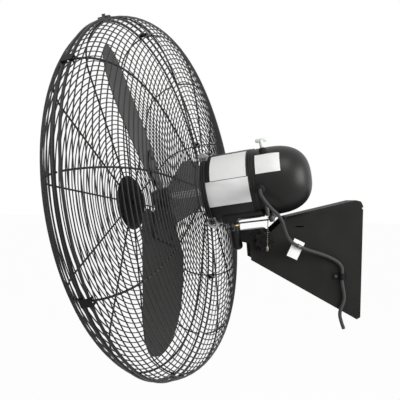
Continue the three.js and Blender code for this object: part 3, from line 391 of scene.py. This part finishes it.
def stand(bm):
    """Turns a piece from the y axis to the z axis."""
    bmesh.ops.rotate(bm, cent=(0, 0, 0), matrix=Matrix.Rotation(math.pi / 2, 3, "X"), verts=bm.verts)


def merge(bm, other):
    """Adds another bmesh to the first and frees it."""
    spare = bpy.data.meshes.new("spare")
    other.to_mesh(spare)
    other.free()
    bm.from_mesh(spare)
    bpy.data.meshes.remove(spare)


stand(boss)
merge(star, boss)
side_on = Matrix(((0, 0, 1), (1, 0, 0), (0, 1, 0))).to_4x4()
side_on.translation = knob_seat + Vector((BRACKET_HALF, 0, 0))
keep("star_knob_lobed", star, moulded, "tilt_knob", "star_knob", side_on)

# Neck: a black painted casting with an eye for the tilt bolt and an upright barrel. A
# brass washer sits on the barrel, and two zinc washers rub on the eye. The guard's ears
# are zinc too, and the shafts are bare machined steel.
enamel = Finish("black_enamel")
haze = enamel.noise(6, 3)
ripple = enamel.noise(300, 2)
enamel.dull(0.27)
enamel.set(Base_Color=enamel.blend(haze, (0.004, 0.004, 0.0038), (0.007, 0.007, 0.0064)),
           Roughness=0.36 + haze * 0.10).bumpy(ripple, 0.00008, 0.35)
dress(enamel, "neck_arm", "motor_base")
brass = Finish("turned_brass")
lines = brass.noise(700, 2)
brass.set(Base_Color=brass.blend(lines, (0.42, 0.29, 0.09), (0.60, 0.44, 0.17)), Metallic=1.0,
          Roughness=0.28 + lines * 0.2)
dress(brass, "thrust_washer")
zinc = Finish("bright_zinc")
spangle = zinc.noise(140, 5)
zinc.set(Base_Color=zinc.blend(spangle, (0.50, 0.50, 0.52), (0.74, 0.74, 0.76)), Metallic=0.7,
         Roughness=0.34 + spangle * 0.22).bumpy(spangle, 0.0001, 0.25)
dress(zinc, "friction_washer_near", "friction_washer_far", "guard_ear_1", "guard_ear_2",
      "guard_ear_3")
machined = Finish("machined_steel")
rings = machined.noise(500, 2)
machined.set(Base_Color=machined.blend(rings, (0.42, 0.42, 0.43), (0.6, 0.6, 0.61)), Metallic=1.0,
             Roughness=0.25 + rings * 0.15)
dress(machined, "swivel_post", "motor_shaft", "front_bearing", "rear_bearing")

# Motor: a rolled steel barrel between two end bells, with a deep drawn gearbox cover at
# the back, all in satin black enamel. Everything here stands round the fan's axis.
spin_joint = next(j for j in frame["joints"] if j["name"] == "fan_spin")
post_joint = next(j for j in frame["joints"] if j["name"] == "oscillation")
FORWARD = Vector(spin_joint["axis"]).normalized()
UPWARD = Vector(post_joint["axis"]).normalized()
SHELL_AHEAD = 0.0197
fan_place = Matrix((FORWARD.cross(UPWARD), FORWARD, UPWARD)).transposed().to_4x4()
fan_place.translation = Vector(spin_joint["pos_m"]) + FORWARD * SHELL_AHEAD
MOTOR_R = 0.080
COVER_R = 0.078
COVER_START = -0.0976
DOME_START = -0.1196
DOME_LENGTH = 0.0930
DOME_POWER = 2.6  # 2 is a ball's curve, and more is squarer


def cover_radius(t):
    u = max(0.0, (DOME_START - t) / DOME_LENGTH)
    return COVER_R * max(0.0, 1 - u ** DOME_POWER) ** (1 / DOME_POWER)


def polar(r, degrees, t):
    a = math.radians(degrees)
    return Vector((-r * math.cos(a), t, r * math.sin(a)))


barrel = bmesh.new()
MOTOR_STEPS = 128
turn(barrel, [(0.0765, 0.0165), (0.0790, 0.0170), (MOTOR_R, 0.0160), (MOTOR_R, -0.0830),
              (0.0790, -0.0840), (0.0765, -0.0835), (0.0765, 0.0165)], MOTOR_STEPS)
keep("barrel_shell", barrel, enamel, "head", "motor_barrel", fan_place)

bell = bmesh.new()
turn(bell, [(0.0095, 0.0303), (0.0260, 0.0303), (0.0300, 0.0290), (0.0640, 0.0290),
            (0.0700, 0.0303), (0.0730, 0.0300), (0.0775, 0.0280), (0.0797, 0.0250),
            (MOTOR_R, 0.0220), (MOTOR_R, 0.0175), (0.0760, 0.0175), (0.0760, 0.0233),
            (0.0680, 0.0263), (0.0095, 0.0263), (0.0095, 0.0303)], MOTOR_STEPS)
keep("front_bell", bell, enamel, "head", "front_end_bell", fan_place)

back_bell = bmesh.new()
turn(back_bell, [(0.0740, -0.0845), (0.0790, -0.0845), (0.0797, -0.0850), (0.0797, -0.0874),
                 (0.0790, -0.0880), (0.0778, -0.0884), (0.0776, -0.0900), (0.0790, -0.0905),
                 (0.0796, -0.0911), (0.0796, -0.0934), (0.0788, -0.0940), (0.0772, -0.0946),
                 (0.0772, -0.0973), (0.0740, -0.0973), (0.0740, -0.0845)], MOTOR_STEPS)
keep("rear_bell", back_bell, enamel, "head", "rear_end_bell", fan_place)

cover = bmesh.new()
outline = [(0.0745, COVER_START - 0.0003), (0.0772, COVER_START), (COVER_R, COVER_START - 0.001),
           (COVER_R, DOME_START)]
DOME_STEPS = 26
for k in range(1, DOME_STEPS + 1):
    t = DOME_START - DOME_LENGTH * math.sin(k / DOME_STEPS * math.pi / 2)
    outline.append((cover_radius(t) if k < DOME_STEPS else 0.0, t))
turn(cover, outline, MOTOR_STEPS)
COVER_SHEET = 0.0025
bmesh.ops.solidify(cover, geom=cover.faces[:], thickness=COVER_SHEET)
keep("gearbox_cover", cover, enamel, "head", "gearbox_housing", fan_place, sharp=50)

# Labels: three bare films on the motor, two white ones and a silver one that reflects
# the room. Nothing is printed on them.
silver_film = Finish("silver_film")
sheen = silver_film.noise(9, 2, (1, 1, 2.5))
silver_film.set(
    Base_Color=silver_film.blend(
        silver_film.step(sheen, 0.3, 0.7), (0.55, 0.56, 0.55), (0.86, 0.87, 0.86)),
    Metallic=0.35, Roughness=0.3 + sheen * 0.2).bumpy(silver_film.noise(60, 2), 0.0003, 0.15)


FILM_LIFT, FILM_THICK = 0.0005, 0.0003


def film(name, replaces, finish, t0, t1, a0, a1, radius):
    """Wraps a thin film on the motor, between two places along its axis and two angles."""
    bm = bmesh.new()
    bmesh.ops.create_grid(bm, x_segments=24, y_segments=24, size=0.5)
    for v in bm.verts:
        t = t0 + (t1 - t0) * (v.co.x + 0.5)
        a = a0 + (a1 - a0) * (v.co.y + 0.5)
        v.co = polar(radius(t) + FILM_LIFT, a, t)
    bmesh.ops.recalc_face_normals(bm, faces=bm.faces)
    middle = bm.faces[len(bm.faces) // 2]
    centre = middle.calc_center_median()
    if middle.normal.dot(Vector((centre.x, 0, centre.z))) < 0:
        bmesh.ops.reverse_faces(bm, faces=bm.faces[:])
    bmesh.ops.solidify(bm, geom=bm.faces[:], thickness=FILM_THICK)
    bmesh.ops.recalc_face_normals(bm, faces=bm.faces)
    keep(name, bm, finish, "head", replaces, fan_place)


film("upper_film", "label_barrel_upper", white_film, 0.003, -0.079, 12.5, 67, lambda t: MOTOR_R)
film("lower_film", "label_barrel_lower", silver_film, 0.014, -0.082, -29.5, 11.5,
     lambda t: MOTOR_R)
film("cover_film", "label_housing", white_film, -0.0996, -0.1536, 13, 49,
     lambda t: cover_radius(t) + 0.0001)

# Cord grommet and the boot of the oscillation knob: moulded black rubber, fitted on the
# gearbox cover where the lead and the knob's stem pass through it.
rubber = Finish("moulded_rubber")
bloom = rubber.noise(300, 3)
rubber.dull(0.1)
rubber.set(Base_Color=rubber.blend(bloom, (0.012, 0.012, 0.012), (0.025, 0.024, 0.024)),
           Roughness=0.62 + bloom * 0.15).bumpy(bloom, 0.0001, 0.4)
dress(rubber, "knob_boot", "cord_grommet")

# Oscillation knob: a milky plastic pull knob with a round bar across its top. Its stem
# goes down through the boot into the gearbox cover.
milky = Finish("milky_plastic")
swirl = milky.noise(90, 2)
milky.set(Base_Color=milky.blend(swirl, (0.68, 0.74, 0.68), (0.82, 0.86, 0.81)),
          Roughness=0.2 + swirl * 0.1)
KNOB_X, KNOB_Y, KNOB_FOOT = 0.0400, 0.0972, 0.20665
head_place = Matrix((-FORWARD.cross(UPWARD), -FORWARD, UPWARD)).transposed().to_4x4()
head_place.translation = Vector(post_joint["pos_m"])
tee = bmesh.new()
turn(tee, [(0.0, -0.018), (0.0056, -0.018), (0.0058, -0.0145), (0.0031, -0.014), (0.0031, 0.008),
           (0.0046, 0.0092), (0.0048, 0.016), (0.0054, 0.022), (0.0054, 0.025), (0.0, 0.0255)], 32)
stand(tee)
block(tee, (-0.0042, -0.013, 0.0202), (0.0042, 0.013, 0.0288), 0.0028)
keep("pull_tee", tee, milky, "stop_knob", "oscillation_knob",
     head_place @ Matrix.Translation((KNOB_X, KNOB_Y, KNOB_FOOT)), sharp=60)

# Inside the motor: laminated cores, enamelled copper, a capacitor and the drive's nylon
# wheel. The bells and the cover close them in.
copper = Finish("enamelled_copper")
strands = copper.noise(400, 2, (1, 0.2, 1))
copper.set(Base_Color=copper.blend(strands, (0.25, 0.09, 0.04), (0.45, 0.18, 0.08)), Metallic=0.5,
           Roughness=0.4 + strands * 0.2)
dress(copper, "winding_front", "winding_rear")
laminated = Finish("laminated_steel")
sheets = laminated.noise(1500, 1)
laminated.set(Base_Color=laminated.blend(sheets, (0.06, 0.06, 0.06), (0.14, 0.14, 0.14)), Metallic=0.8,
              Roughness=0.45 + sheets * 0.2)
dress(laminated, "stator_core", "rotor_core")
dress(moulded, "run_capacitor", "badge_clamp")
nylon = Finish("nylon")
nylon.set(Base_Color=nylon.blend(nylon.noise(120), (0.6, 0.56, 0.45), (0.72, 0.68, 0.58)), Roughness=0.5)
dress(nylon, "worm_wheel")

# Pull switch: a blackened bushing under the gearbox cover, with a nickel bead chain that
# hangs from it to a small bell end.
nickel = Finish("nickel_plate")
tarnish = nickel.noise(220, 4)
nickel.set(Base_Color=nickel.blend(tarnish, (0.10, 0.09, 0.075), (0.22, 0.20, 0.165)), Metallic=0.9,
           Roughness=0.3 + tarnish * 0.2)
dress(black_steel, "pull_switch")
SWITCH_X, SWITCH_Y = 0.0601, 0.0909
AXIS_HIGH, COVER_DROP, BUSH_LONG, BUSH_SUNK = 0.1398, 0.04972, 0.026, 0.001
BUSH_END = AXIS_HIGH - COVER_DROP - BUSH_LONG
mouth = head_place @ Vector((SWITCH_X, SWITCH_Y, BUSH_END - BUSH_SUNK))
chain = bmesh.new()
BEADS, BEAD, BEAD_PITCH, FIRST_BEAD = 16, 0.0015, 0.0042, 0.002
for k in range(BEADS):
    spot = Matrix.Translation(mouth - Vector((0, 0, FIRST_BEAD + k * BEAD_PITCH)))
    bmesh.ops.create_icosphere(chain, subdivisions=2, radius=BEAD, matrix=spot)
stem = bmesh.new()
turn(stem, [(0.0, -0.068), (0.0004, -0.068), (0.0004, 0.0), (0.0, 0.0)], 8)
turn(stem, [(0.0, -0.076), (0.0031, -0.076), (0.0034, -0.0755), (0.0034, -0.070), (0.0026, -0.067),
            (0.0015, -0.0645), (0.0, -0.0645)], 24)
stand(stem)
bmesh.ops.translate(stem, vec=mouth, verts=stem.verts)
merge(chain, stem)
keep("bead_chain", chain, nickel, "chain", "pull_chain")

# Guards: rings of black coated steel wire welded to twelve ribs, one dish behind the
# blades and one in front. The two rims are thicker and are held together by clips, and
# a few rings form a collar round the front of the motor.
GUARD_R = 0.420
FACE_T, FACE_R = 0.2325, 0.3206
RIM_T, BACK_T, BACK_POWER = 0.1452, 0.0321, 5.7
HUB_HOLE_R, MOTOR_HOLE_R = 0.050, 0.0885
coated = Finish("coated_wire")
flow = coated.noise(500, 2)
coated.dull(0.2)
coated.set(Base_Color=coated.blend(flow, (0.014, 0.014, 0.014), (0.025, 0.025, 0.025)),
           Roughness=0.36 + flow * 0.12).bumpy(flow, 0.0001, 0.3)
dress(moulded, *[f"guard_clip_{k}" for k in range(1, 7)])


def front_profile():
    """The front dish from its hub to its rim: a flat face, then most of a quarter ellipse."""
    points = [(HUB_HOLE_R + (FACE_R - HUB_HOLE_R) * k / 60, FACE_T) for k in range(61)]
    for k in range(1, 41):
        a = math.radians(79 * k / 40)
        points.append((FACE_R + (GUARD_R - FACE_R) * math.sin(a),
                       RIM_T + (FACE_T - RIM_T) * math.cos(a)))
    return points


def back_profile():
    """The rear dish from the motor to its rim: flat at first, then ever steeper."""
    points = []
    for k in range(121):
        r = MOTOR_HOLE_R + (0.4192 - MOTOR_HOLE_R) * math.sin(k / 120 * math.pi / 2)
        bow = math.sqrt(max(0.0, 1 - (r / GUARD_R) ** BACK_POWER))
        points.append((r, RIM_T - (RIM_T - BACK_T) * bow))
    return points + [(0.4200, 0.1400), (0.4205, 0.1480)]


def stations(profile, pitch, first, last):
    """Points a fixed distance apart along a profile, from its start to its end."""
    lengths = [0.0]
    for a, b in zip(profile, profile[1:]):
        lengths.append(lengths[-1] + math.dist(a, b))
    count = round((lengths[-1] - first - last) / pitch)
    found = []
    for k in range(count + 1):
        want = first + (lengths[-1] - first - last) * k / count
        i = max(j for j in range(len(lengths) - 1) if lengths[j] <= want + 1e-9)
        share = (want - lengths[i]) / (lengths[i + 1] - lengths[i])
        found.append([a + (b - a) * share for a, b in zip(profile[i], profile[i + 1])])
    return found


RING_WIRE, RIB_WIRE, RIM_WIRE = 0.0026, 0.0040, 0.0060
RIBS, RIB_START, PITCH = 12, 8, 0.0106
RIM_CLEAR = 0.009  # from the last ring to the rim
COLLAR_R, COLLAR_PLACES = 0.0880, (0.0140, 0.0185, 0.0230, 0.0275)


def guard(name, replaces, profile, rib_side, first, rim, collar=()):
    """A dish of wires: hoops along a profile, a thicker rim, and ribs on one side."""
    curve = bpy.data.curves.new(name, "CURVE")
    curve.dimensions = "3D"
    curve.bevel_depth = RING_WIRE / 2
    curve.bevel_resolution = 1
    curve.use_fill_caps = True

    def wire(points, width, closed):
        spline = curve.splines.new("POLY")
        spline.points.add(len(points) - 1)
        spline.use_cyclic_u = closed
        for knot, point in zip(spline.points, points):
            knot.co = (*(fan_place @ point), 1)
            knot.radius = width / RING_WIRE

    def hoop(r, t, width):
        wire([polar(r, a * 2.5, t) for a in range(144)], width, True)

    wires = stations(profile, PITCH, first, RIM_CLEAR)
    for r, t in wires:
        hoop(r, t, RING_WIRE)
    for t in collar:
        hoop(COLLAR_R, t, RING_WIRE)
    hoop(profile[-1][0], rim, RIM_WIRE)
    hoop(*wires[0], RIB_WIRE)
    spine = stations(profile, 0.012, 0.0, 0.0)
    flat = len(spine) * 0.75  # past this the ribs lie inside the rings, not beside them
    bent = [(r, t + rib_side) if k < flat else (r - abs(rib_side) * 0.7, t + rib_side * 0.5)
            for k, (r, t) in enumerate(spine)]
    for k in range(RIBS):
        wire([polar(r, RIB_START + k * 360 / RIBS, t) for r, t in bent], RIB_WIRE, False)
    curve.materials.append(coated.material)
    made = bpy.data.objects.new(name, curve)
    studio.collection.objects.link(made)
    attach(made, "head")
    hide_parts(replaces)


RIB_SIDE = 0.0028
guard("front_cage", "front_guard", front_profile(), -RIB_SIDE, 0.016, 0.1645)
guard("rear_cage", "rear_guard", back_profile(), RIB_SIDE, 0.0, 0.1500, COLLAR_PLACES)

# Hub badge: a plain black moulded disc in the middle of the front guard, with a domed
# edge. A clamp ring behind the wires holds it.
badge = bmesh.new()
turn(badge, [(0.0, 0.2385), (0.0500, 0.2380), (0.0610, 0.2374), (0.0650, 0.2365),
             (0.0668, 0.2355), (0.0670, 0.2352), (0.0050, 0.2351), (0.0050, 0.2290),
             (0.0, 0.2290)], 96)
keep("badge_disc", badge, moulded, "head", "hub_badge", fan_place)

# Blades: three pressed steel sheets with a twist, painted satin black and riveted to a
# spider on the motor's shaft. Their edges are worked out in millimetres.
BLADE_R, DRAWN_R = 373, 381
BLADE_REACH = BLADE_R / DRAWN_R
BLADE_ROOT, BLADE_TIP = 52, 380.8
BLADE_MIDDLE, BLADE_TRAIL = 33, 112
BLADE_T, BLADE_PITCH, BLADE_CUP, BLADE_SHEET = 145, 0.25, 5, 0.0015
satin = Finish("satin_black")
brushed = satin.noise(12, 4)
speck = satin.noise(700, 2)
satin.dull(0.2)
satin.set(Base_Color=satin.blend(brushed, (0.016, 0.016, 0.0156), (0.028, 0.0275, 0.0265)),
          Roughness=0.36 + brushed * 0.12).bumpy(speck, 0.0001, 0.3)
dress(satin, "blade_spider")


def lead(x):
    """The leading edge at a distance along the blade."""
    u = min(1, max(0, (x - 290) / 91))
    root = min(1, max(0, (x - 50) / 40))
    return BLADE_MIDDLE + (46 - 0.03 * (x - 150)) * math.sqrt(1 - u ** 2.4) - 22 * (1 - root) ** 2


def trail(x):
    """The trailing edge at a distance along the blade."""
    u = min(1, max(0, (x - 190) / 191))
    root = min(1, max(0, (x - 50) / 84))
    return BLADE_MIDDLE - BLADE_TRAIL * (1 - u ** 2.2) ** 0.45 + 47 * (1 - root ** 0.8)


for k, angle in enumerate((55, 175, 295), 1):
    blade = bmesh.new()
    bmesh.ops.create_grid(blade, x_segments=72, y_segments=26, size=0.5)
    for v in blade.verts:
        x = BLADE_ROOT + (BLADE_TIP - BLADE_ROOT) * math.sin((v.co.x + 0.5) * math.pi / 2)
        s = trail(x) + (lead(x) - trail(x)) * (v.co.y + 0.5)
        pitch = BLADE_PITCH * (1.12 - 0.55 * x / DRAWN_R)
        t = BLADE_T + pitch * s - BLADE_CUP * (s / 90) ** 2
        v.co = Vector((-x * BLADE_REACH, t, s)) / 1000
    bmesh.ops.recalc_face_normals(blade, faces=blade.faces)
    bmesh.ops.solidify(blade, geom=blade.faces[:], thickness=BLADE_SHEET)
    bmesh.ops.recalc_face_normals(blade, faces=blade.faces)
    turned = Matrix.Rotation(math.radians(angle), 4, "Y")
    keep(f"pressed_blade_{k}", blade, satin, "fan", f"blade_{k}", fan_place @ turned)
